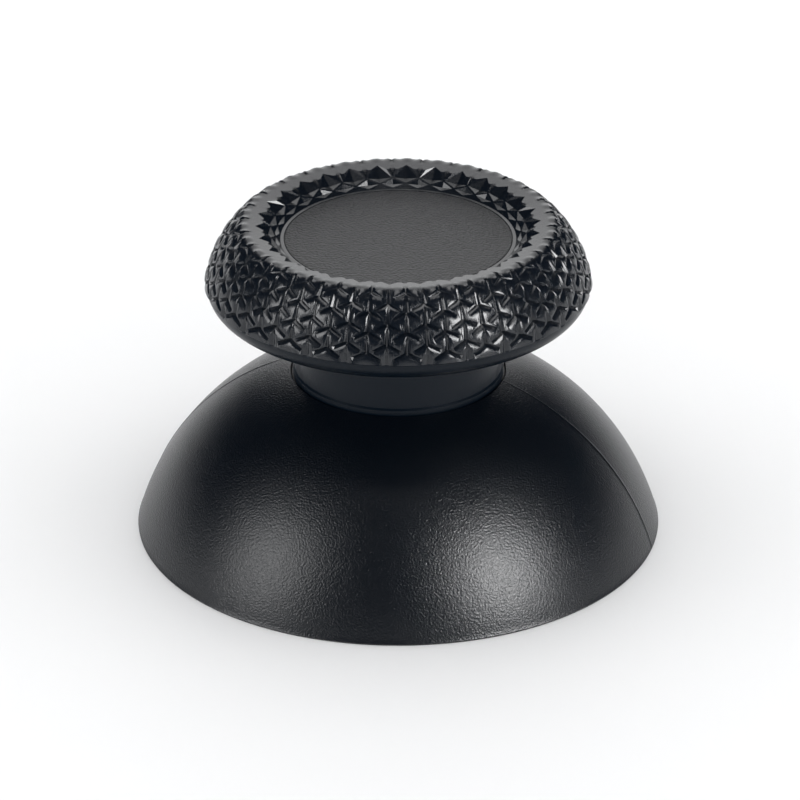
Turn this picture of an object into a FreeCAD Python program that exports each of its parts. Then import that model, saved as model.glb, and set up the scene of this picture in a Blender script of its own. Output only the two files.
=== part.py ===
import FreeCAD, Part
import math
import os
import re

import Sketcher

# Thumbstick cap. A hard black dome stands on its rim; its stem rises from a flat seat on top and ends
# in a head plate. A soft grip, with a knurled ring round a dished top, is moulded over stem and plate.
# Origin at the centre of the rim's base plane, +Z up the stem. Lengths in mm, angles in degrees.

SIZES = {
    "rim_radius": 12.5,      # outer radius of the dome on its base plane, half of the 25 mm width
    "rim_lean": 15.9,        # how far the dome's surface leans in where it meets the base plane
    "dome_wall": 1.2,        # thickness of the dome's shell
    "seat_height": 7.92,     # flat seat on top of the dome that the grip's sleeve stands on
    "seat_ledge": 0.38,      # how far the seat runs on outside the sleeve's foot
    "stem_radius": 3.8,      # stem between seat and head plate
    "head_radius": 7.6,      # plate at the stem's top
    "head_thickness": 1.4,
    "boss_radius": 3.3,      # socket boss inside the dome
    "boss_bottom": 1.0,      # height of the boss's lower face above the base plane
    "socket_radius": 2.02,   # round walls of the lever socket
    "socket_flats": 3.15,    # distance between the socket's two flats
    "socket_depth": 5.6,
    "socket_lead": 0.3,      # lead-in chamfer at the socket's mouth
    "web_turn": 45.0,        # angle of the first gusset round the axis
    "web_lap": 0.3,          # how far a gusset is sunk into the boss
    "web_thickness": 0.8,    # gussets between the boss and the dome's ceiling
    "web_reach": 3.6,        # how far a gusset runs out from the boss
    "web_drop": 3.2,         # how far a gusset runs down the boss from the seat's level
    "web_count": 4,
    "sleeve_radius": 4.9,    # outside of the grip's sleeve round the stem
    "sleeve_bead": 0.08,     # how far the sleeve's foot stands proud
    "bead_height": 0.35,
    "sleeve_flare": 0.6,     # flare between the sleeve and the underside of the disc
    "brim_radius": 9.06,     # widest radius of the disc, at the lower edge of the knurl
    "brim_rise": 4.73,       # height of that edge above the seat
    "brim_round": 1.0,       # quarter round below that edge, down to the disc's flat underside
    "brim_step": 0.06,       # how far the knurl stands proud of that quarter round
    "slope_arc": 5.09,       # radius of the knurled slope's profile
    "slope_start": 9.8,      # angle above the horizontal of the slope's normal at the brim
    "slope_end": 45.0,       # the same where the slope runs into the crest
    "crest_arc": 0.55,       # rounding over the top of the ring
    "dish_slope": 21.0,      # fall of the dish's wall towards its floor
    "floor_radius": 5.3,     # flat floor of the dish
    "skin": 1.0,             # thickness of the grip over the head plate
    "floor_lap": 0.3,        # how far the floor's level runs on inside the ring
    "knurl_count": 30,       # pitches of the knurl round the ring
    "knurl_phase": -3.4,     # angle of one column from the front, positive towards +X
    "row_turn": 10.5,        # angle along the slope's arc from one row to the next
    "row_stagger": 6.6,      # how far the columns between are raised along the arc
    "groove_depth": 0.2,     # depth of a star at its centre
    "cutter_lift": 0.08,     # how far a star's cutter reaches out of the surface
    "arm_reach": 0.65,       # a star's arm, across from the centre, at the brim
    "arm_drop": 0.36,        # the same arm, down the slope
    "arm_root": 0.1,         # how far the fork between the arms lies below the centre
    "stem_rise": 0.52,       # the star's upright groove, up from the centre
    "stem_foot": 0.17,       # half the upright groove's width where it meets the arms
    "stem_fork": 0.05,       # how far above the centre it meets them
    "crest_lean": 52.0,      # angle on the crest's arc of the star that opens each arch of its outer edge
    "dish_row": 0.62,        # step inwards from one row of the dish's wall to the next
}

SLOPE_ROWS = 3     # rows of stars up the slope, and as many in the columns between
DISH_ROWS = 3      # rows down the dish's wall, from the crest
BETWEEN = 0.5      # the columns between stand half a pitch round
DOME_STEPS = 7     # straight steps that stand for an arc of the section, to keep the faces few
CEILING_STEPS = 4
BRIM_STEPS = 3
SLOPE_STEPS = 3
CREST_STEPS = 2
TOLERANCE = 1e-6   # slack when points are compared

# Lengths and angles that follow from the sizes above.
DERIVED = {
    "rim_inset": "rim_radius - sleeve_radius - sleeve_bead - seat_ledge",
    "rim_chord": "sqrt(rim_inset ^ 2 + seat_height ^ 2)",
    "dome_arc": "rim_chord / (2 * sin(atan(rim_inset / seat_height) - dome_start))",
    "dome_r": "rim_radius - dome_arc * cos(rim_lean)",
    "dome_z": "-dome_arc * sin(rim_lean)",
    "dome_start": "rim_lean * 1 deg",
    "dome_end": "asin((seat_height - dome_z) / dome_arc)",
    "inner_arc": "dome_arc - dome_wall",
    "inner_start": "asin(-dome_z / inner_arc)",
    "inner_end": "acos((boss_radius - dome_r) / inner_arc)",
    "web_end_r": "boss_radius + web_reach",
    "web_end_z": "dome_z + sqrt(inner_arc ^ 2 - (web_end_r - dome_r) ^ 2) + dome_wall / 2",
    "web_top": "dome_z + inner_arc * sin(inner_end) + dome_wall / 2",
    "flat_half": "sqrt(socket_radius ^ 2 - (socket_flats / 2) ^ 2)",
    "head_low": "head_high - head_thickness",
    "head_high": "dish_foot_z - skin",
    "brim_height": "seat_height + brim_rise",
    "underside": "brim_height - brim_round",
    "brim_r": "brim_radius - brim_step - brim_round",
    "brim_z": "brim_height",
    "slope_r": "brim_radius - slope_arc * cos(slope_start)",
    "slope_z": "brim_height - slope_arc * sin(slope_start)",
    "crest_r": "slope_r + (slope_arc - crest_arc) * cos(slope_end)",
    "crest_z": "slope_z + (slope_arc - crest_arc) * sin(slope_end)",
    "dish_top_r": "crest_r - crest_arc * sin(dish_slope)",
    "dish_top_z": "crest_z + crest_arc * cos(dish_slope)",
    "dish_foot_z": "dish_top_z - (dish_top_r - floor_radius) * tan(dish_slope)",
}


def bound(text):
    """An expression with each derived name written out and each size read from the sheet."""
    def swap(match):
        word = match.group(0)
        if word in DERIVED:
            return "(" + bound(DERIVED[word]) + ")"
        return "Sizes." + word if word in SIZES else word
    return re.sub(r"[a-z_]+", swap, text)


doc = FreeCAD.newDocument("ThumbstickCap")
sheet = doc.addObject("Spreadsheet::Sheet", "Sizes")
for row, (alias, size) in enumerate(SIZES.items(), start=1):
    sheet.set("A%d" % row, alias)
    sheet.set("B%d" % row, str(size))
    sheet.setAlias("B%d" % row, alias)
doc.recompute()


def value(text):
    """The number that an expression in the names above comes to."""
    return float(sheet.evalExpression(bound(text)))


def new_body(label):
    body = doc.addObject("PartDesign::Body", label)
    body.Label = label
    body.Placement = FreeCAD.Placement()
    return body


def origin_feature(body, role):
    return next(item for item in body.Origin.OriginFeatures if item.Role == role)


def new_sketch(body, name, role, offset=None):
    """A sketch on one of the body's origin planes; offset is (base x, y, z, yaw, pitch, roll) as texts."""
    sketch = body.newObject("Sketcher::SketchObject", name)
    sketch.AttachmentSupport = [(origin_feature(body, role), "")]
    sketch.MapMode = "FlatFace"
    if offset:
        place = "placement(vector(%s; %s; %s); rotation(%s; %s; %s))" % tuple(bound(t) for t in offset)
        sketch.setExpression("AttachmentOffset", place)
    return sketch


def pin(sketch, geo, pos, axis, text):
    """Fixes one coordinate of a sketch point to an expression."""
    if text == "0":
        sketch.addConstraint(Sketcher.Constraint("PointOnObject", geo, pos, -2 if axis == "X" else -1))
        return
    size = value(text)
    if size < 0:
        index = sketch.addConstraint(Sketcher.Constraint("Distance" + axis, geo, pos, -1, 1, -size))
        sketch.setExpression("Constraints[%d]" % index, "-(%s)" % bound(text))
    else:
        index = sketch.addConstraint(Sketcher.Constraint("Distance" + axis, -1, 1, geo, pos, size))
        sketch.setExpression("Constraints[%d]" % index, bound(text))


def draw_outline(sketch, corners):
    """A closed outline. A corner is (x, y), or (x, y, centre x, centre y, radius) where an arc ends there."""
    points = [FreeCAD.Vector(value(c[0]), value(c[1]), 0) for c in corners]
    ends = []
    for i, corner in enumerate(corners):
        start, end = points[i - 1], points[i]
        if len(corner) == 2:
            sketch.addGeometry(Part.LineSegment(start, end), False)
            ends.append((1, 2))
            continue
        centre = FreeCAD.Vector(value(corner[2]), value(corner[3]), 0)
        circle = Part.Circle(centre, FreeCAD.Vector(0, 0, 1), value(corner[4]))
        anticlockwise = (start - centre).cross(end - centre).z > 0
        first, last = (start, end) if anticlockwise else (end, start)
        low, high = circle.parameter(first), circle.parameter(last)
        sketch.addGeometry(Part.ArcOfCircle(circle, low, high if high > low else high + math.tau), False)
        ends.append((1, 2) if anticlockwise else (2, 1))
    for i in range(len(corners)):
        after = (i + 1) % len(corners)
        sketch.addConstraint(Sketcher.Constraint("Coincident", i, ends[i][1], after, ends[after][0]))
    for i, corner in enumerate(corners):
        pin(sketch, i, ends[i][1], "X", corner[0])
        pin(sketch, i, ends[i][1], "Y", corner[1])
        if len(corner) == 5:
            index = sketch.addConstraint(Sketcher.Constraint("Radius", i, value(corner[4])))
            sketch.setExpression("Constraints[%d]" % index, bound(corner[4]))


def on_arc(centre, arc, lean):
    """Radius and height, as texts, on an arc of the section where its normal leans by an angle."""
    return "%s_r + %s * cos(%s)" % (centre, arc, lean), "%s_z + %s * sin(%s)" % (centre, arc, lean)


def chords(centre, arc, start, end, steps):
    """An arc of the section as straight steps, without its first point."""
    leans = ["(%s + (%s - %s) * %d / %d)" % (start, end, start, i, steps) for i in range(1, steps + 1)]
    return [on_arc(centre, arc, lean) for lean in leans]


def revolve(body, name, sketch):
    """A full turn of the sketch round its vertical axis."""
    ring = body.newObject("PartDesign::Revolution", name)
    ring.Profile = sketch
    ring.ReferenceAxis = (sketch, ["V_Axis"])
    ring.Angle = 360
    return ring


def polar(body, name, originals, count):
    """Copies of the features round the vertical axis, as the body's new tip."""
    pattern = body.newObject("PartDesign::PolarPattern", name)
    pattern.Originals = originals
    pattern.Axis = (origin_feature(body, "Z_Axis"), [""])
    pattern.Angle = 360
    pattern.setExpression("Occurrences", bound(count))
    body.Tip = pattern
    return pattern


def pocket(body, name, sketch, depth):
    cut = body.newObject("PartDesign::Pocket", name)
    cut.Profile = sketch
    cut.Type = "Length"
    cut.setExpression("Length", bound(depth))
    return cut


# Half of the stem's and the head plate's outline, from the seat up to the axis.
STEM_OUTLINE = [
    ("stem_radius", "seat_height"),
    ("stem_radius", "head_low"),
    ("head_radius", "head_low"),
    ("head_radius", "head_high"),
    ("0", "head_high"),
]


def make_dome_stem():
    """Dome, socket boss, stem and head plate: one hard moulding."""
    body = new_body("dome_stem")
    section = new_sketch(body, "DomeSection", "XZ_Plane")
    ceiling = chords("dome", "inner_arc", "inner_end", "inner_start", CEILING_STEPS)
    draw_outline(section, [
        ("boss_radius", "boss_bottom"),
        on_arc("dome", "inner_arc", "inner_end"),
        *ceiling,
        ("rim_radius", "0"),
        *chords("dome", "dome_arc", "dome_start", "dome_end", DOME_STEPS),
        *STEM_OUTLINE,
        ("0", "boss_bottom"),
    ])
    revolve(body, "DomeTurn", section)
    doc.recompute()

    web = new_sketch(body, "WebSection", "XZ_Plane", ("0", "0", "0", "0", "web_turn", "0"))
    draw_outline(web, [
        ("boss_radius - web_lap", "seat_height - web_drop"),
        ("boss_radius", "seat_height - web_drop"),
        ("web_end_r", "web_end_z"),
        ("boss_radius - web_lap", "web_top"),
    ])
    gusset = body.newObject("PartDesign::Pad", "Gusset")
    gusset.Profile = web
    gusset.SideType = "Symmetric"
    gusset.setExpression("Length", bound("web_thickness"))
    doc.recompute()
    polar(body, "Gussets", [gusset], "web_count")
    doc.recompute()

    mouth = new_sketch(body, "SocketMouth", "XY_Plane", ("0", "0", "boss_bottom", "0", "0", "0"))
    draw_outline(mouth, [
        ("flat_half", "-socket_flats / 2"),
        ("flat_half", "socket_flats / 2", "0", "0", "socket_radius"),
        ("-flat_half", "socket_flats / 2"),
        ("-flat_half", "-socket_flats / 2", "0", "0", "socket_radius"),
    ])
    socket = pocket(body, "Socket", mouth, "socket_depth")
    socket.Reversed = True
    doc.recompute()
    chamfer_mouth(body, socket)
    return body


def chamfer_mouth(body, socket):
    """A lead-in all round the edges where the socket opens in the boss's lower face."""
    level, reach = value("boss_bottom"), value("(socket_radius + boss_radius) / 2")
    edges = []
    for i, edge in enumerate(socket.Shape.Edges, start=1):
        ends = [vertex.Point for vertex in edge.Vertexes]
        if all(abs(end.z - level) < TOLERANCE and math.hypot(end.x, end.y) < reach for end in ends):
            edges.append("Edge%d" % i)
    lead = body.newObject("PartDesign::Chamfer", "SocketLead")
    lead.Base = (socket, edges)
    lead.setExpression("Size", bound("socket_lead"))
    body.Tip = lead
    doc.recompute()


def make_stem_room():
    """The room that the stem and its plate take up in the grip."""
    body = new_body("StemRoom")
    section = new_sketch(body, "RoomSection", "XZ_Plane")
    draw_outline(section, STEM_OUTLINE + [("0", "seat_height")])
    revolve(body, "RoomTurn", section)
    doc.recompute()
    return body


def make_grip_core():
    """Sleeve, disc and floor of the soft moulding: all that is turned."""
    body = new_body("GripCore")
    section = new_sketch(body, "GripSection", "XZ_Plane")
    draw_outline(section, [
        ("0", "seat_height"),
        ("sleeve_radius + sleeve_bead", "seat_height"),
        ("sleeve_radius + sleeve_bead", "seat_height + bead_height"),
        ("sleeve_radius", "seat_height + bead_height"),
        ("sleeve_radius", "underside - sleeve_flare"),
        ("sleeve_radius + sleeve_flare", "underside"),
        ("brim_r", "underside"),
        *chords("brim", "brim_round", "-90", "0", BRIM_STEPS),
        ("floor_radius + floor_lap", "brim_height"),
        ("floor_radius + floor_lap", "dish_foot_z"),
        ("0", "dish_foot_z"),
    ])
    revolve(body, "GripTurn", section)
    doc.recompute()
    return body


def column_turn(column):
    """Angle from the front of a column of the knurl, counted in pitches."""
    return value("knurl_phase") + column * 360 / value("knurl_count")


def make_band():
    """The ring from brim to dish in flat facets, with an edge at each column of the knurl."""
    section = [("brim_radius", "brim_height")]
    section += chords("slope", "slope_arc", "slope_start", "slope_end", SLOPE_STEPS)
    section += chords("crest", "crest_arc", "slope_end", "(90 + dish_slope)", CREST_STEPS)
    section += [("floor_radius", "dish_foot_z"), ("floor_radius", "brim_height")]
    section = [(value(radius), value(height)) for radius, height in section]
    columns = round(value("knurl_count") / BETWEEN)
    turns = [math.radians(column_turn(i * BETWEEN)) for i in range(columns)]
    rings = [[FreeCAD.Vector(radius * math.sin(turn), -radius * math.cos(turn), height) for turn in turns]
             for radius, height in section]
    faces = []
    for low, high in zip(rings, rings[1:]):
        for i in range(len(turns)):
            facet = [low[i - 1], low[i], high[i], high[i - 1], low[i - 1]]
            faces.append(Part.Face(Part.makePolygon(facet)))
    edges = [Part.makePolygon(ring + ring[:1]) for ring in (rings[0], rings[-1])]
    faces.append(Part.makeFace(edges, "Part::FaceMakerBullseye"))
    band = doc.addObject("Part::Feature", "KnurlBand")
    band.Shape = Part.makeSolid(Part.makeShell(faces))
    return band


def star_corners(way, arms):
    """Corners of a three-armed groove seen from outside: an upright, and two arms that fall away.

    way is 1 with the arms down the surface, or -1 with them up.
    """
    rise, foot, fork = value("stem_rise"), value("stem_foot"), value("stem_fork")
    reach, drop, root = value("arm_reach"), value("arm_drop"), value("arm_root")
    if arms:
        corners = [(0, rise), (foot, fork), (reach, -drop), (0, -root), (-reach, -drop), (-foot, fork)]
    else:
        corners = [(0, rise), (foot, -fork), (-foot, -fork)]
    return [(across, along * way) for across, along in corners]


def star_cutter(column, lean, radius, height, way=1, arms=True):
    """A pyramid with a star for its base, its point sunk below the surface at radius and height.

    column is how many pitches round from the front, lean the angle of the surface's normal above level.
    """
    turn = column_turn(column)
    lean, radius, height = value(lean), value(radius), value(height)
    size = radius / value("brim_radius")
    depth = size * value("groove_depth")
    grow = (depth + value("cutter_lift")) / depth
    point = FreeCAD.Vector(0, 0, -depth)
    base = [point + (FreeCAD.Vector(across * size, along * size, 0) - point) * grow
            for across, along in star_corners(way, arms)]
    faces = [Part.Face(Part.makePolygon([point, base[i - 1], base[i], point])) for i in range(len(base))]
    faces.append(Part.Face(Part.makePolygon(base + base[:1])))
    cutter = Part.makeSolid(Part.makeShell(faces))
    stand = FreeCAD.Rotation(FreeCAD.Vector(1, 0, 0), 90)
    cutter.Placement = FreeCAD.Placement(
        FreeCAD.Rotation(FreeCAD.Vector(0, 0, 1), turn).multVec(FreeCAD.Vector(0, -radius, height)),
        FreeCAD.Rotation(FreeCAD.Vector(0, 0, 1), turn) * stand * FreeCAD.Rotation(0, 0, -lean))
    return cutter


def knurl_pitch():
    """The cutters of one pitch: edge, slope, crest and dish."""
    edge = on_arc("slope", "slope_arc", "slope_start")
    cutters = [star_cutter(0, "slope_start", *edge, arms=False)]
    for k in range(SLOPE_ROWS):
        lean = "(slope_start + %d * row_turn)" % (k + 1)
        cutters.append(star_cutter(0, lean, *on_arc("slope", "slope_arc", lean)))
        lean = "(slope_start + row_stagger + %d * row_turn)" % k
        cutters.append(star_cutter(BETWEEN, lean, *on_arc("slope", "slope_arc", lean)))
    cutters.append(star_cutter(BETWEEN, "crest_lean", *on_arc("crest", "crest_arc", "crest_lean")))
    for k in range(DISH_ROWS):
        inward = "%d * dish_row" % k
        place = ("dish_top_r - %s" % inward, "dish_top_z - %s * tan(dish_slope)" % inward)
        cutters.append(star_cutter(k % 2 * BETWEEN, "90 + dish_slope", *place, way=-1))
    return cutters


def make_grip_cap():
    """The soft moulding: core and band in one, less the knurl and the room for the stem."""
    count = int(value("knurl_count"))
    cutters = []
    for cutter in knurl_pitch():
        for i in range(count):
            copy = cutter.copy()
            copy.rotate(FreeCAD.Vector(), FreeCAD.Vector(0, 0, 1), 360.0 * i / count)
            cutters.append(copy)
    knurl = doc.addObject("Part::Feature", "KnurlCutters")
    knurl.Shape = Part.makeCompound(cutters)

    ring = doc.addObject("Part::Cut", "KnurledBand")
    ring.Base, ring.Tool = make_band(), knurl
    whole = doc.addObject("Part::Fuse", "GripBlank")
    whole.Base, whole.Tool = make_grip_core(), ring
    cap = doc.addObject("Part::Cut", "grip_cap")
    cap.Base, cap.Tool = whole, make_stem_room()
    for step in (ring, whole, cap):
        step.Refine = False
    return cap


PARTS = [make_dome_stem(), make_grip_cap()]
doc.recompute()

for item in doc.Objects:
    if {"Invalid", "Error"} & set(item.State):
        raise RuntimeError("%s did not build" % item.Label)
os.makedirs("parts", exist_ok=True)
for part in PARTS:
    shape = part.Shape
    if shape.isNull() or not shape.isValid() or len(shape.Solids) != 1:
        raise RuntimeError("%s is not one valid solid" % part.Label)
    shape.exportStep(os.path.join("parts", part.Label + ".step"))
    print("%s: %.1f mm3, %d faces" % (part.Label, shape.Volume, len(shape.Faces)))
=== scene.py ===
import math

import bpy
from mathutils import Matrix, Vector
from mathutils.geometry import delaunay_2d_cdt


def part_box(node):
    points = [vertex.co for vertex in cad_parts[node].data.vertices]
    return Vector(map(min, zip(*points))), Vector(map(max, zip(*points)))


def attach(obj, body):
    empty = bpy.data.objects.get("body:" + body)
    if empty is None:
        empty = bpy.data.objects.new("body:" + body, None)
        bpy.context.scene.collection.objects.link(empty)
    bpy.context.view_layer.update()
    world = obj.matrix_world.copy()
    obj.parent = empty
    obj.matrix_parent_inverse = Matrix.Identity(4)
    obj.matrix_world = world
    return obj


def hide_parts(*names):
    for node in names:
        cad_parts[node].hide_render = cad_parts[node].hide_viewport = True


# Thumbstick cap: hard black dome and stem, and the soft grip moulded over them with its knurled ring.
# Sizes are in millimetres and angles in degrees; points are written in metres in the frame's own place.
# A turn is the angle round the axis from the front, positive towards +X. A lean is the angle of a section's
# normal above the horizontal, so it is 0 on an upright wall and 90 on a flat top.

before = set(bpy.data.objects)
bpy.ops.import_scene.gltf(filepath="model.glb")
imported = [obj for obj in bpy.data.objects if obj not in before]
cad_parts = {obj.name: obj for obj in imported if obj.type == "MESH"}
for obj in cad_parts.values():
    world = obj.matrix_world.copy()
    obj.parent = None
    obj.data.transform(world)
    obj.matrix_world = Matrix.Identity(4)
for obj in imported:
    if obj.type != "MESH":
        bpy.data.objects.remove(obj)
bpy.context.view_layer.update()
MM = 0.001
SMALL = 1e-6             # lengths and shares below this count as nothing
DIGITS = 4               # decimals of a millimetre or degree to which points are told apart
CREASE = 30              # smallest angle between two facets of the dome that shows as an edge
GRIP_CREASE = 18         # the same for the grip, whose facets are shallow

RIM_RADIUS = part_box("dome_stem")[1][0] / MM
HEAD_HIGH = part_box("dome_stem")[1][2] / MM
SEAT_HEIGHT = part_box("grip_cap")[0][2] / MM

# Section of the dome and the stem.
RIM_LEAN = 15.9          # lean of the dome's wall at the rim
DOME_ARC = 12.11         # radius of the dome's outer arc
DOME_WALL = 1.2
DOME_STEPS, CEILING_STEPS = 60, 30
STEM_RADIUS = 3.8
HEAD_RADIUS, HEAD_THICKNESS = 7.6, 1.4
BOSS_RADIUS, BOSS_BOTTOM = 3.3, 1.0
SOCKET_RADIUS, SOCKET_FLATS = 2.02, 3.15
SOCKET_DEPTH, SOCKET_LEAD = 5.6, 0.3
WEB_COUNT, WEB_THICKNESS = 4, 0.8
WEB_REACH, WEB_DROP = 3.6, 3.2
WEB_SINK = 0.3           # how far a gusset's inner end goes into the boss
RIM_ROUND = 0.12         # rounding of the rim's outer edge
RIM_INSET = 0.02         # how far inside the rim's radius the rounding ends
RIM_SKIP = 0.3           # degrees of the dome's arc left out above the rounding
RIM_STEPS = 4
GROOVE_OUTER, GROOVE_INNER = 5.1, 5.02   # fine groove that the dome leaves round the sleeve's foot
SEAM_TURN = 75           # parting line, here and opposite
SEAM_HALF = 0.3          # half its width, in degrees
SEAM_HEIGHT = 0.03
TURN_GAP = 0.4           # smallest gap between a whole degree and a turn that the section needs

# Section of the grip.
SLEEVE_RADIUS, SLEEVE_FLARE = 4.9, 0.6
SLEEVE_BEAD, BEAD_HEIGHT = 0.08, 0.35
BRIM_RADIUS, BRIM_HEIGHT = 9.06, 12.65
BRIM_ROUND = 1.0
BRIM_STEP = 0.06         # how far the brim's side stands back under the knurl's edge
BRIM_LEAN = -4           # lean at which the brim's rounding begins
BRIM_STEPS, FLARE_STEPS = 12, 8
SLOPE_ARC, SLOPE_START, SLOPE_END = 5.09, 9.8, 45.0
CREST_ARC = 0.8
LEDGE_SLOPE, LEDGE_RADIUS = 8.0, 6.32    # fall of the ledge inside the crest, and where it ends
DISH_SLOPE, FLOOR_HEIGHT = 40.0, 14.833
FLOOR_EDGE, FLOOR_LINE = 5.32, 0.03      # fine groove round the rough floor: its radius and depth
FLOOR_RINGS = 8

# The knurl: columns half a pitch apart, with rows of three-armed grooves up the slope and pits in the dish.
KNURL_COUNT, KNURL_PHASE = 30, -3.4
PITCH = 360 / KNURL_COUNT
HALF_PITCH = PITCH / 2
SLOPE_ROWS = 3
ROW_TURN = 10.5          # degrees of the slope's arc from one row to the next in a column
ROW_STAGGER = 6.2        # degrees of it from a row in one column to the next row beside it
LAND_GRID = 0.11         # spacing of the points that round the lands
GRID_CLEAR = 0.4         # share of that spacing that the points keep from a groove's edges
LAND_CROWN = 0.04        # how far a land stands proud in its middle
CREST_CROWN = 0.06       # how far the crest's scallops stand proud
LOW_DEEPER = 0.6         # share by which the grooves are deeper at the brim's edge than at the crest
MERGE = 1e-5             # points of the band nearer than this become one

# A star's shape, in lengths from its centre at the brim's scale. The stem goes up by rise, and tip and foot
# are half its width at its ends. An arm's end is reach to the side and drop down, and width is half the arm's
# width. The stem's bottom is flat for flat to each side, and an arm's is a line that lies lift above its
# middle. Both stop cap before their ends, and have their depths at the centre, the tip and the arm's end.
STAR = {"rise": 0.52, "tip": 0.05, "foot": 0.15, "reach": 0.65, "drop": 0.36, "width": 0.09,
        "lift": 0.03, "flat": 0.03, "cap": 0.09, "depth": 0.09, "tip_depth": 0.04, "end_depth": 0.06}
FOOT_STEM = {"foot": 0.2, "depth": 0.1}
CREST_STAR = {"rise": 0.35, "tip": 0.03, "foot": 0.1, "flat": 0.01,
              "depth": 0.07, "tip_depth": 0.03, "end_depth": 0.04}
TICK = {"rise": 0.3, "tip": 0.03, "foot": 0.07, "flat": 0.01, "depth": 0.06, "tip_depth": 0.03}
TICK_RUN = 0.1           # how far down the dish's wall a tick's foot is
# A pit's centre down the dish's wall, half its width in degrees, its reach out and in, and its depth.
UPPER_PIT = {"run": 0.45, "sweep": 5.6, "outward": 0.8, "inward": 0.28, "depth": 0.15}
LOWER_PIT = {"run": 0.79, "sweep": 5.2, "outward": 0.27, "inward": 0.2, "depth": 0.08}


def cos(angle):
    return math.cos(math.radians(angle))


def sin(angle):
    return math.sin(math.radians(angle))


def on_arc(centre, radius, lean):
    """The point of an arc where its normal has a lean."""
    return centre[0] + radius * cos(lean), centre[1] + radius * sin(lean)


def arc_points(centre, radius, start, end, steps):
    """Points along an arc of a section, both ends included."""
    return [on_arc(centre, radius, start + (end - start) * i / steps) for i in range(steps + 1)]


def place(radius, height, turn):
    """A point in metres from its radius, height and turn."""
    return Vector((radius * sin(turn), -radius * cos(turn), height)) * MM


def make_object(name, shell, node, crease):
    """A piece from a shell's points and faces, in place of a CAD node."""
    mesh = bpy.data.meshes.new(name)
    mesh.from_pydata(shell.points, [], shell.faces)
    mesh.validate()
    mesh.update()
    mesh.shade_smooth()
    mesh.set_sharp_from_angle(angle=math.radians(crease))
    piece = bpy.data.objects.new(name, mesh)
    bpy.context.scene.collection.objects.link(piece)
    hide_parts(node)
    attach(piece, "root")
    return piece


class Shell:
    """Points and faces of one piece, with points at the same place shared."""

    def __init__(self):
        self.points, self.faces, self.index = [], [], {}

    def point(self, position):
        """The number of the point at a place, added where it is new."""
        key = tuple(round(c / MM, DIGITS) for c in position)
        if key not in self.index:
            self.index[key] = len(self.points)
            self.points.append(position)
        return self.index[key]

    def face(self, positions):
        """A face through the positions, left out where fewer than three of them differ."""
        corners = []
        for position in positions:
            number = self.point(position)
            if number not in corners:
                corners.append(number)
        if len(corners) > 2:
            self.faces.append(corners)

    def join(self, low, high):
        """A band of faces between two rings of points."""
        for i in range(len(low)):
            self.face([low[i - 1], low[i], high[i], high[i - 1]])

    def turned(self, section, turns):
        """Bands of faces between the rings of a section. Returns the rings.

        A ring is (radius, height), its radius a number or a function of the turn.
        """
        rings = []
        for radius, height in section:
            reach = radius if callable(radius) else lambda turn, fixed=radius: fixed
            rings.append([place(reach(turn), height, turn) for turn in turns])
        for low, high in zip(rings, rings[1:]):
            self.join(low, high)
        return rings


# Dome and stem

DOME_CENTRE = (RIM_RADIUS - DOME_ARC * cos(RIM_LEAN), -DOME_ARC * sin(RIM_LEAN))
INNER_ARC = DOME_ARC - DOME_WALL


def ceiling_height(radius):
    """Height of the dome's inner arc at a radius."""
    return DOME_CENTRE[1] + math.sqrt(INNER_ARC ** 2 - (radius - DOME_CENTRE[0]) ** 2)


def lean_at_radius(radius, arc):
    """Lean where the dome's outer or inner arc has a radius."""
    return math.degrees(math.acos((radius - DOME_CENTRE[0]) / arc))


def lean_at_height(height, arc):
    """Lean where the dome's outer or inner arc has a height."""
    return math.degrees(math.asin((height - DOME_CENTRE[1]) / arc))


def seamed(radius):
    """The dome's radius with the parting line's fine ridge on both sides."""
    def reach(turn):
        off = min(abs(turn - SEAM_TURN), abs(turn - SEAM_TURN - 180))
        return radius + SEAM_HEIGHT * max(0, 1 - off / SEAM_HALF)
    return reach


def socket_reach(lead):
    """Distance from the axis to the two-sided socket's wall, widened by a lead."""
    def reach(turn):
        across = abs(cos(turn))
        flat = SOCKET_FLATS / 2 + lead
        return min(SOCKET_RADIUS + lead, flat / max(across, SMALL))
    return reach


def dome_turns():
    """Whole degrees, and the turns of the socket's corners and the parting line."""
    corner = math.degrees(math.acos(SOCKET_FLATS / 2 / SOCKET_RADIUS))
    special = {corner, 180 - corner, 180 + corner, 360 - corner}
    for seam in (SEAM_TURN, SEAM_TURN + 180):
        special |= {seam - SEAM_HALF, seam, seam + SEAM_HALF}
    plain = {turn for turn in range(360) if min(abs(turn - at) for at in special) > TURN_GAP}
    return sorted(plain | special)


def socket_section():
    """The socket from its closed top down to its mouth and the boss's end."""
    top = BOSS_BOTTOM + SOCKET_DEPTH
    return [
        (0, top),
        (socket_reach(0), top),
        (socket_reach(0), BOSS_BOTTOM + SOCKET_LEAD),
        (socket_reach(SOCKET_LEAD), BOSS_BOTTOM),
        (BOSS_RADIUS, BOSS_BOTTOM),
    ]


def skirt_section():
    """The dome's wall from the boss along the ceiling, round the rim and up to the sleeve's foot."""
    ceiling = arc_points(DOME_CENTRE, INNER_ARC, lean_at_radius(BOSS_RADIUS, INNER_ARC),
                         lean_at_height(0, INNER_ARC), CEILING_STEPS)
    rim = arc_points((RIM_RADIUS - RIM_ROUND - RIM_INSET, RIM_ROUND), RIM_ROUND, -90, 0, RIM_STEPS)
    outside = arc_points(DOME_CENTRE, DOME_ARC, lean_at_height(RIM_ROUND, DOME_ARC) + RIM_SKIP,
                         lean_at_radius(GROOVE_OUTER, DOME_ARC), DOME_STEPS)
    return [*ceiling, *rim, *[(seamed(radius), height) for radius, height in outside]]


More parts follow.
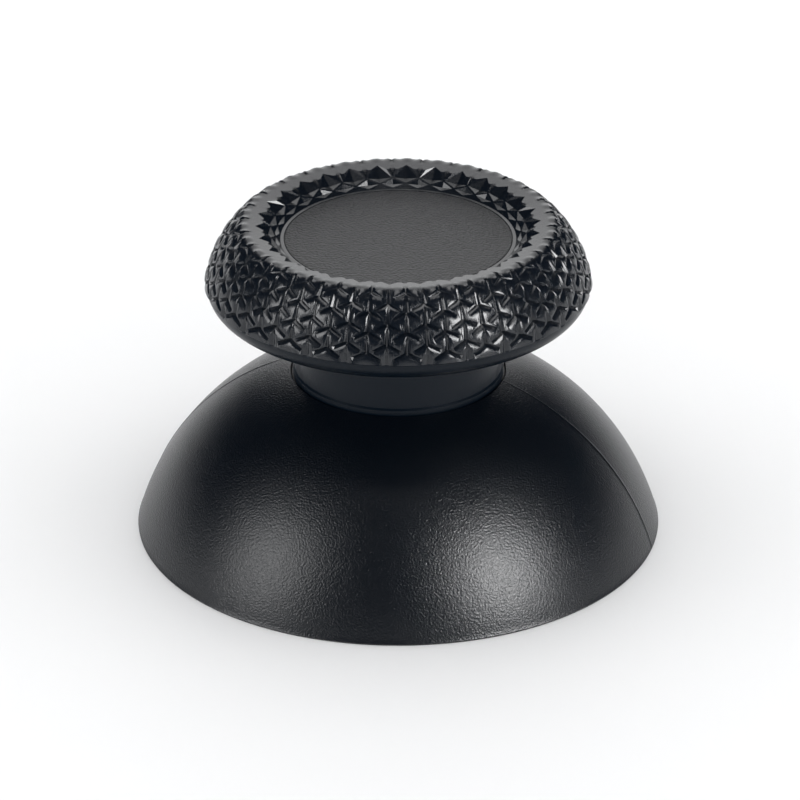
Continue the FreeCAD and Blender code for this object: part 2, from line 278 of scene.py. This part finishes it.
def stem_section():
    """The groove's wall, the stem and the head plate."""
    head_low = HEAD_HIGH - HEAD_THICKNESS
    return [
        (GROOVE_INNER, SEAT_HEIGHT),
        (STEM_RADIUS, SEAT_HEIGHT),
        (STEM_RADIUS, head_low),
        (HEAD_RADIUS, head_low),
        (HEAD_RADIUS, HEAD_HIGH),
        (0, HEAD_HIGH),
    ]


def add_web(shell, turn):
    """A gusset between the boss and the dome's ceiling, its ends sunk into both."""
    inner, outer = BOSS_RADIUS - WEB_SINK, BOSS_RADIUS + WEB_REACH
    sink = DOME_WALL / 2
    outline = [
        (inner, SEAT_HEIGHT - WEB_DROP),
        (BOSS_RADIUS, SEAT_HEIGHT - WEB_DROP),
        (outer, ceiling_height(outer) + sink),
        (inner, ceiling_height(BOSS_RADIUS) + sink),
    ]
    along, across = Vector((sin(turn), -cos(turn), 0)), Vector((cos(turn), sin(turn), 0))
    sides = []
    for side in (-1, 1):
        offset = across * side * WEB_THICKNESS / 2
        sides.append([(along * radius + offset + Vector((0, 0, height))) * MM for radius, height in outline])
    shell.face(sides[0])
    shell.face(sides[1][::-1])
    shell.join(sides[0][::-1], sides[1][::-1])


def make_dome():
    shell = Shell()
    shell.turned([*socket_section(), *skirt_section(), *stem_section()], dome_turns())
    for i in range(WEB_COUNT):
        add_web(shell, 360 * (i + 0.5) / WEB_COUNT)
    return make_object("dome_and_stem", shell, "dome_stem", CREASE)


# Grip: the knurled band runs up the slope, over the crest, along the ledge and down the dish's wall

SLOPE_CENTRE = (BRIM_RADIUS - SLOPE_ARC * cos(SLOPE_START), BRIM_HEIGHT - SLOPE_ARC * sin(SLOPE_START))
CREST_CENTRE = on_arc(SLOPE_CENTRE, SLOPE_ARC - CREST_ARC, SLOPE_END)
LEDGE_LEAN, DISH_LEAN = 90 + LEDGE_SLOPE, 90 + DISH_SLOPE
LEDGE_TOP = on_arc(CREST_CENTRE, CREST_ARC, LEDGE_LEAN)
LEDGE_LENGTH = (LEDGE_TOP[0] - LEDGE_RADIUS) / cos(LEDGE_SLOPE)
DISH_TOP = (LEDGE_RADIUS, LEDGE_TOP[1] - LEDGE_LENGTH * sin(LEDGE_SLOPE))
SLOPE_LENGTH = math.radians(SLOPE_END - SLOPE_START) * SLOPE_ARC
CREST_LENGTH = math.radians(LEDGE_LEAN - SLOPE_END) * CREST_ARC
DISH_LENGTH = (DISH_TOP[1] - FLOOR_HEIGHT) / sin(DISH_SLOPE)
LEDGE_START = SLOPE_LENGTH + CREST_LENGTH
DISH_START = LEDGE_START + LEDGE_LENGTH
BAND_LENGTH = DISH_START + DISH_LENGTH
ROW_PITCH = math.radians(ROW_TURN) * SLOPE_ARC
ROW_DROP = math.radians(ROW_TURN - ROW_STAGGER) * SLOPE_ARC


def along_band(run):
    """Radius, height and lean at a run along the band's section from the brim's edge."""
    if run < SLOPE_LENGTH:
        lean = SLOPE_START + math.degrees(run / SLOPE_ARC)
        return *on_arc(SLOPE_CENTRE, SLOPE_ARC, lean), lean
    if run < LEDGE_START:
        lean = SLOPE_END + math.degrees((run - SLOPE_LENGTH) / CREST_ARC)
        return *on_arc(CREST_CENTRE, CREST_ARC, lean), lean
    if run < DISH_START:
        start, slope, lean, inward = LEDGE_TOP, LEDGE_SLOPE, LEDGE_LEAN, run - LEDGE_START
    else:
        start, slope, lean, inward = DISH_TOP, DISH_SLOPE, DISH_LEAN, run - DISH_START
    return start[0] - inward * cos(slope), start[1] - inward * sin(slope), lean


class Groove:
    """Half of a three-armed groove, or of a stem without arms, on one border of half a pitch.

    turn is 0 or HALF_PITCH, and run the place of its centre. changes are made to the shape of STAR, whose
    depths also grow towards the brim. way is 1 with the stem up the band and -1 with it down.
    """

    def __init__(self, turn, run, changes=None, arms=True, way=1):
        self.turn, self.run, self.arms, self.way = turn, run, arms, way
        deeper = 1 + LOW_DEEPER * max(0, 1 - run / SLOPE_LENGTH)
        self.shape = {**STAR, "depth": STAR["depth"] * deeper, "end_depth": STAR["end_depth"] * deeper}
        self.shape.update(changes or {})
        self.size = along_band(run)[0] / BRIM_RADIUS

    def place(self, across, along):
        """Turn and run of a point given in the groove's own directions, at the brim's scale."""
        sweep = math.degrees(across / BRIM_RADIUS)
        turn = self.turn + sweep if self.turn == 0 else self.turn - sweep
        return turn, self.run + along * self.way * self.size

    def star(self):
        """Corners (across, along, depth) of a groove with arms, and the pairs that an edge joins."""
        s = self.shape
        length = math.hypot(s["reach"], s["drop"])
        over, down = s["reach"] / length, s["drop"] / length
        gap = s["width"] / over
        # The stem's edge meets the arm's upper edge at the fork.
        slant = (s["foot"] - s["tip"]) / s["rise"]
        tilt = down / over
        fork_along = (gap - tilt * (s["tip"] + slant * s["rise"])) / (1 - tilt * slant)
        fork_across = s["tip"] + slant * (s["rise"] - fork_along)
        side = (down * s["width"], over * s["width"])
        bottom = length - s["cap"]
        top = s["rise"] - s["cap"]
        corners = [
            (0, s["rise"], 0),
            (s["tip"], s["rise"], 0),
            (fork_across, fork_along, 0),
            (s["reach"] + side[0], -s["drop"] + side[1], 0),
            (s["reach"] - side[0], -s["drop"] - side[1], 0),
            (0, -gap, 0),
            (0, top, s["tip_depth"]),
            (0, s["lift"], s["depth"]),
            (over * bottom + down * s["lift"], over * s["lift"] - down * bottom, s["end_depth"]),
            (s["flat"], top, s["tip_depth"]),
            (s["flat"], s["lift"], s["depth"]),
        ]
        mouth = [(0, 1), (1, 2), (2, 3), (3, 4), (4, 5)]
        floor = [(6, 9), (9, 1), (9, 10), (10, 2), (7, 10), (10, 8), (8, 3), (8, 4), (6, 7)]
        return corners, mouth + floor

    def stem(self):
        """The same for a groove without arms."""
        s = self.shape
        top = s["rise"] - s["cap"]
        corners = [
            (0, s["rise"], 0),
            (s["tip"], s["rise"], 0),
            (s["foot"], 0, 0),
            (0, top, s["tip_depth"]),
            (0, 0, s["depth"]),
            (s["flat"], top, s["tip_depth"]),
            (s["flat"], 0, s["depth"]),
        ]
        mouth = [(0, 1), (1, 2)]
        floor = [(3, 5), (5, 1), (5, 6), (6, 2), (4, 6), (3, 4)]
        return corners, mouth + floor

    def parts(self):
        """Corners as (turn, run, depth), and the pairs of corners that an edge joins."""
        corners, pairs = self.star() if self.arms else self.stem()
        return [(*self.place(across, along), depth * self.size) for across, along, depth in corners], pairs

    def outline(self):
        """The corners of the groove's mouth, closed along the border."""
        corners, _ = self.parts()
        mouth = corners[:6] if self.arms else [*corners[:3], corners[4]]
        return [corner[:2] for corner in mouth]


class Pit:
    """Half of a four-sided pit in the dish's wall, on one border of half a pitch."""

    def __init__(self, turn, run, sweep, outward, inward, depth):
        centre = DISH_START + run
        side = turn + sweep if turn == 0 else turn - sweep
        self.corners = [(turn, centre - outward, 0), (side, centre, 0), (turn, centre + inward, 0),
                        (turn, centre, depth)]

    def parts(self):
        return self.corners, [(0, 1), (1, 2), (0, 3), (1, 3), (2, 3)]

    def outline(self):
        return [corner[:2] for corner in self.corners[:3]]


def band_grooves():
    """All half grooves and half pits that border one half pitch."""
    grooves = [Groove(0, 0, FOOT_STEM, arms=False)]
    for row in range(1, SLOPE_ROWS + 1):
        grooves.append(Groove(0, row * ROW_PITCH))
        grooves.append(Groove(HALF_PITCH, row * ROW_PITCH - ROW_DROP))
    grooves.append(Groove(HALF_PITCH, (SLOPE_ROWS + 1) * ROW_PITCH - ROW_DROP, CREST_STAR))
    grooves.append(Groove(HALF_PITCH, DISH_START + TICK_RUN, TICK, arms=False, way=-1))
    grooves.append(Pit(0, **UPPER_PIT))
    grooves.append(Pit(HALF_PITCH, **LOWER_PIT))
    return grooves


def inside(point, outline):
    """Whether a point lies in an outline."""
    x, y = point
    hit = False
    for (ax, ay), (bx, by) in zip(outline, outline[1:] + outline[:1]):
        if (ay > y) != (by > y) and x < ax + (y - ay) * (bx - ax) / (by - ay):
            hit = not hit
    return hit


def edge_distance(point, start, end, stretch):
    """Distance from a point to an edge, with turns taken as lengths by the stretch."""
    p = Vector((point[0] * stretch, point[1]))
    a, b = Vector((start[0] * stretch, start[1])), Vector((end[0] * stretch, end[1]))
    share = max(0, min(1, (p - a).dot(b - a) / max((b - a).length_squared, SMALL ** 2)))
    return (p - a - (b - a) * share).length


def crown(turn, run):
    """How far the surface stands proud: lands on the slope, and scallops along the crest.

    The land between four stars stands proud in its middle and not at its edges. Its lower and upper bounds
    are the lines from star to star, and they alternate up the slope.
    """
    share = turn / HALF_PITCH
    if run > SLOPE_LENGTH:
        part = min(1, (run - SLOPE_LENGTH) / CREST_LENGTH)
        return CREST_CROWN * sin(180 * part) * cos(180 * share) ** 2
    falling = -ROW_DROP * share
    rising = -ROW_PITCH + (ROW_PITCH - ROW_DROP) * share
    level = math.ceil((run - falling) / ROW_PITCH)
    middle = rising + level * ROW_PITCH
    if run >= middle:
        low, high, fade = middle, falling + level * ROW_PITCH, cos(90 * share)
    else:
        low, high, fade = falling + (level - 1) * ROW_PITCH, middle, sin(90 * share)
    if high - low < SMALL:
        return 0
    part = (run - low) / (high - low)
    return LAND_CROWN * 4 * part * (1 - part) * fade


def land_runs():
    """Runs of the rows of points, divided evenly within each part of the band."""
    ends = [0, SLOPE_LENGTH, LEDGE_START, DISH_START, BAND_LENGTH]
    runs = [0]
    for start, end in zip(ends, ends[1:]):
        steps = round((end - start) / LAND_GRID)
        runs += [start + (end - start) * (i + 1) / steps for i in range(steps)]
    return runs


def land_points(mouths, walls):
    """Points (turn, run) of the lands, clear of the grooves' mouths and edges."""
    columns = round(math.radians(HALF_PITCH) * BRIM_RADIUS / LAND_GRID)
    points = []
    for run in land_runs():
        stretch = math.radians(1) * along_band(run)[0]
        for j in range(columns + 1):
            point = (HALF_PITCH * j / columns, run)
            if any(inside(point, mouth) for mouth in mouths):
                continue
            near = min(edge_distance(point, a, b, stretch) for a, b in walls) < LAND_GRID * GRID_CLEAR
            if near and run < BAND_LENGTH - SMALL:
                continue
            points.append(point)
    return points


def half_pitch():
    """Points (turn, run, height) and triangles of half a pitch of the band."""
    points, heights, edges = [], [], []
    grooves = band_grooves()
    for groove in grooves:
        corners, pairs = groove.parts()
        base = len(points)
        points += [Vector(corner[:2]) for corner in corners]
        heights += [-corner[2] for corner in corners]
        edges += [(base + a, base + b) for a, b in pairs]
    mouths = [groove.outline() for groove in grooves]
    walls = [(points[a], points[b]) for a, b in edges]
    for point in land_points(mouths, walls):
        points.append(Vector(point))
        heights.append(crown(*point))
    found, _, faces, origins, _, _ = delaunay_2d_cdt(points, edges, [], 0, MERGE)
    levels = [min((heights[k] for k in origin), default=0) for origin in origins]
    return [(p.x, p.y, level) for p, level in zip(found, levels)], faces


def copies(points):
    """Each copy of half a pitch round the axis: its side, and the turn and place of each of its points."""
    for pitch in range(KNURL_COUNT):
        for side in (1, -1):
            placed = []
            for turn, run, level in points:
                radius, height, lean = along_band(run)
                around = KNURL_PHASE + PITCH * pitch + side * turn
                placed.append((around, place(radius + level * cos(lean), height + level * sin(lean), around)))
            yield side, placed


def edge_ring(points, at):
    """The turns and the places of the points on one edge of the band, all the way round."""
    ring = {}
    for _, placed in copies([point for point in points if abs(point[1] - at) < SMALL]):
        for around, position in placed:
            ring[round(around % 360, DIGITS)] = (around, position)
    order = sorted(ring)
    return [ring[key][0] for key in order], [ring[key][1] for key in order]


def add_knurl(shell, points, faces):
    """The band's triangles, all the way round."""
    for side, placed in copies(points):
        for face in faces:
            shell.face([placed[k][1] for k in face][::side])


def add_underside(shell, points):
    """The turned part below the knurl: brim, underside, sleeve, and the room for stem and plate."""
    turns, edge = edge_ring(points, 0)
    underside = BRIM_HEIGHT - BRIM_ROUND
    brim_centre = (BRIM_RADIUS - BRIM_STEP - BRIM_ROUND, BRIM_HEIGHT)
    flare_centre = (SLEEVE_RADIUS + SLEEVE_FLARE, underside - SLEEVE_FLARE)
    head_low = HEAD_HIGH - HEAD_THICKNESS
    bead_top = SEAT_HEIGHT + BEAD_HEIGHT
    section = [
        (0, HEAD_HIGH),
        (HEAD_RADIUS, HEAD_HIGH),
        (HEAD_RADIUS, head_low),
        (STEM_RADIUS, head_low),
        (STEM_RADIUS, SEAT_HEIGHT),
        (SLEEVE_RADIUS + SLEEVE_BEAD, SEAT_HEIGHT),
        (SLEEVE_RADIUS + SLEEVE_BEAD, bead_top),
        (SLEEVE_RADIUS, bead_top + SLEEVE_BEAD),
        *arc_points(flare_centre, SLEEVE_FLARE, 180, 90, FLARE_STEPS),
        *arc_points(brim_centre, BRIM_ROUND, -90, BRIM_LEAN, BRIM_STEPS),
    ]
    rings = shell.turned(section, turns)
    shell.join(rings[-1], edge)


def add_floor(shell, points):
    """The dish's floor with the fine groove round it, from the knurl's inner edge to the axis."""
    turns, edge = edge_ring(points, BAND_LENGTH)
    section = [(FLOOR_EDGE + FLOOR_LINE, FLOOR_HEIGHT), (FLOOR_EDGE, FLOOR_HEIGHT - FLOOR_LINE)]
    for k in range(FLOOR_RINGS):
        section.append((FLOOR_EDGE * (1 - k / FLOOR_RINGS) - FLOOR_LINE, FLOOR_HEIGHT))
    section.append((0, FLOOR_HEIGHT))
    rings = shell.turned(section, turns)
    shell.join(edge, rings[0])


def make_grip():
    shell = Shell()
    points, faces = half_pitch()
    add_knurl(shell, points, faces)
    add_underside(shell, points)
    add_floor(shell, points)
    return make_object("knurled_grip", shell, "grip_cap", GRIP_CREASE)


# Materials

def new_material(name, colour, roughness, specular=0.5):
    """A material of one colour, and its shader."""
    material = bpy.data.materials.new(name)
    material.use_nodes = True
    nodes, links = material.node_tree.nodes, material.node_tree.links
    nodes.clear()
    out = nodes.new("ShaderNodeOutputMaterial")
    shader = nodes.new("ShaderNodeBsdfPrincipled")
    shader.inputs["Base Color"].default_value = (*colour, 1)
    shader.inputs["Roughness"].default_value = roughness
    shader.inputs["Specular IOR Level"].default_value = specular
    links.new(shader.outputs[0], out.inputs[0])
    return material, shader


def add_grain(material, shader, size, strength, height):
    """A fine moulded grain, its cells about size across and height high."""
    nodes, links = material.node_tree.nodes, material.node_tree.links
    where = nodes.new("ShaderNodeTexCoord")
    noise = nodes.new("ShaderNodeTexNoise")
    noise.inputs["Scale"].default_value = 1 / (size * MM)
    noise.inputs["Detail"].default_value = 2
    bump = nodes.new("ShaderNodeBump")
    bump.inputs["Strength"].default_value = strength
    bump.inputs["Distance"].default_value = height * MM
    links.new(where.outputs["Object"], noise.inputs["Vector"])
    links.new(noise.outputs["Fac"], bump.inputs["Height"])
    links.new(bump.outputs["Normal"], shader.inputs["Normal"])


def hard_plastic():
    """Satin black with a moulded grain."""
    material, shader = new_material("hard_plastic", (0.0002, 0.001, 0.0024), roughness=0.31)
    add_grain(material, shader, size=0.09, strength=1.0, height=0.025)
    return material


def knurl_rubber():
    """The smoothest of the three rubber finishes."""
    material, shader = new_material("soft_grip_knurl", (0.0015, 0.0028, 0.005), roughness=0.26)
    add_grain(material, shader, size=0.12, strength=0.5, height=0.005)
    return material


def floor_rubber_painted_light():
    """Rough and grained, for the dish's floor. The grain is the floor's own; its colour, lighter than the
    knurl's rubber, is painted light where the floor faces up.
    """
    material, shader = new_material("soft_grip_floor_painted_light", (0.004, 0.0045, 0.006), roughness=0.42, specular=0.42)
    add_grain(material, shader, size=0.13, strength=1.0, height=0.09)
    return material


def sleeve_rubber_painted_shade():
    """Less reflective and a little darker, for the brim, the underside and the sleeve: a shaded copy of the
    grip's rubber, painted shade under the brim.
    """
    material, shader = new_material("soft_grip_sleeve_painted_shade", (0.001, 0.0026, 0.005), roughness=0.3, specular=0.18)
    add_grain(material, shader, size=0.12, strength=0.6, height=0.008)
    return material


def paint_grip(grip):
    """Gives each face of the grip its rubber, by its place: painted shade below the brim, and painted light
    on the dish's floor.
    """
    for material in (knurl_rubber(), floor_rubber_painted_light(), sleeve_rubber_painted_shade()):
        grip.data.materials.append(material)
    knurl, floor, sleeve = range(3)
    for polygon in grip.data.polygons:
        centre = polygon.center / MM
        # Faces below the brim take the darker, less reflective copy as painted shade; the floor's faces take
        # the lighter copy as painted light.
        if centre.z < BRIM_HEIGHT:
            polygon.material_index = sleeve
        elif math.hypot(centre.x, centre.y) < FLOOR_EDGE:
            polygon.material_index = floor
        else:
            polygon.material_index = knurl


# Studio

CAMERA_LENS, CAMERA_SENSOR, CAMERA_SHIFT = 214.2, 36, 0.00215
CAMERA_DISTANCE, CAMERA_ELEVATION = 226, 26.87
CLIP_START, CLIP_END = 0.01, 10          # metres
TARGET = Vector((0, 0, 6.329 * MM))      # the point on the axis that camera and lights face
FLOOR_HALF = 2.0                         # half the white floor's side, in metres
WORLD_COLOUR = (0.015, 0.02, 0.03, 1)


def aim(item, distance, elevation, turn):
    """Puts a camera or light at a distance from the target, facing it."""
    item.location = TARGET + place(distance * cos(elevation), distance * sin(elevation), turn)
    item.rotation_euler = (TARGET - item.location).to_track_quat("-Z", "Y").to_euler()
    bpy.context.scene.collection.objects.link(item)


def add_light(name, turn, elevation, distance, width, height, glow):
    """A soft box that faces the object; glow is its brightness, with 1 for the white of the floor."""
    data = bpy.data.lights.new(name, "AREA")
    data.shape, data.size, data.size_y = "RECTANGLE", width * MM, height * MM
    data.energy = glow * math.pi * data.size * data.size_y
    light = bpy.data.objects.new(name, data)
    aim(light, distance, elevation, turn)
    return light


def add_gloss(*place_and_size):
    """A light that shows only as a reflection, so the floor's shadow stays as it is."""
    add_light(*place_and_size).visible_diffuse = False


def add_fill(*place_and_size):
    """A light that lights the surfaces but never shows as a reflection."""
    add_light(*place_and_size).visible_glossy = False


def add_camera():
    camera = bpy.data.objects.new("camera", bpy.data.cameras.new("camera"))
    camera.data.lens, camera.data.sensor_width = CAMERA_LENS, CAMERA_SENSOR
    camera.data.shift_x = CAMERA_SHIFT
    camera.data.clip_start, camera.data.clip_end = CLIP_START, CLIP_END
    aim(camera, CAMERA_DISTANCE, CAMERA_ELEVATION, 0)
    bpy.context.scene.camera = camera


def add_white_floor():
    mesh = bpy.data.meshes.new("floor")
    corners = [(-1, -1), (1, -1), (1, 1), (-1, 1)]
    mesh.from_pydata([(x * FLOOR_HALF, y * FLOOR_HALF, 0) for x, y in corners], [], [(0, 1, 2, 3)])
    floor = bpy.data.objects.new("floor", mesh)
    bpy.context.scene.collection.objects.link(floor)
    pale, _ = new_material("floor", (0.9, 0.9, 0.9), roughness=0.9)
    mesh.materials.append(pale)


def add_lights():
    """Two boxes for the dome's two glows, two for the top, and a sky and low walls for the white floor."""
    # Turn, elevation, distance, width, height, glow.
    add_gloss("left_box", -63, 23, 400, 170, 240, 6.6)
    add_gloss("right_box", 49, 24, 400, 130, 200, 23)
    add_gloss("backdrop", 180, 28, 500, 320, 460, 1.6)
    add_gloss("top_box", 180, 77, 500, 200, 370, 3.4)
    add_fill("sky", 0, 90, 1000, 4000, 4000, 0.15)
    for turn in (0, 90, 180, 270):
        add_fill("wall_%d" % turn, turn, 12, 1900, 3800, 1200, 4.9)


def set_world():
    world = bpy.data.worlds.new("world")
    world.use_nodes = True
    background = world.node_tree.nodes["Background"]
    background.inputs["Color"].default_value = WORLD_COLOUR
    background.inputs["Strength"].default_value = 1.0
    bpy.context.scene.world = world
    bpy.context.scene.view_settings.view_transform = "Standard"


dome = make_dome()
dome.data.materials.append(hard_plastic())
paint_grip(make_grip())
add_camera()
add_white_floor()
add_lights()
set_world()
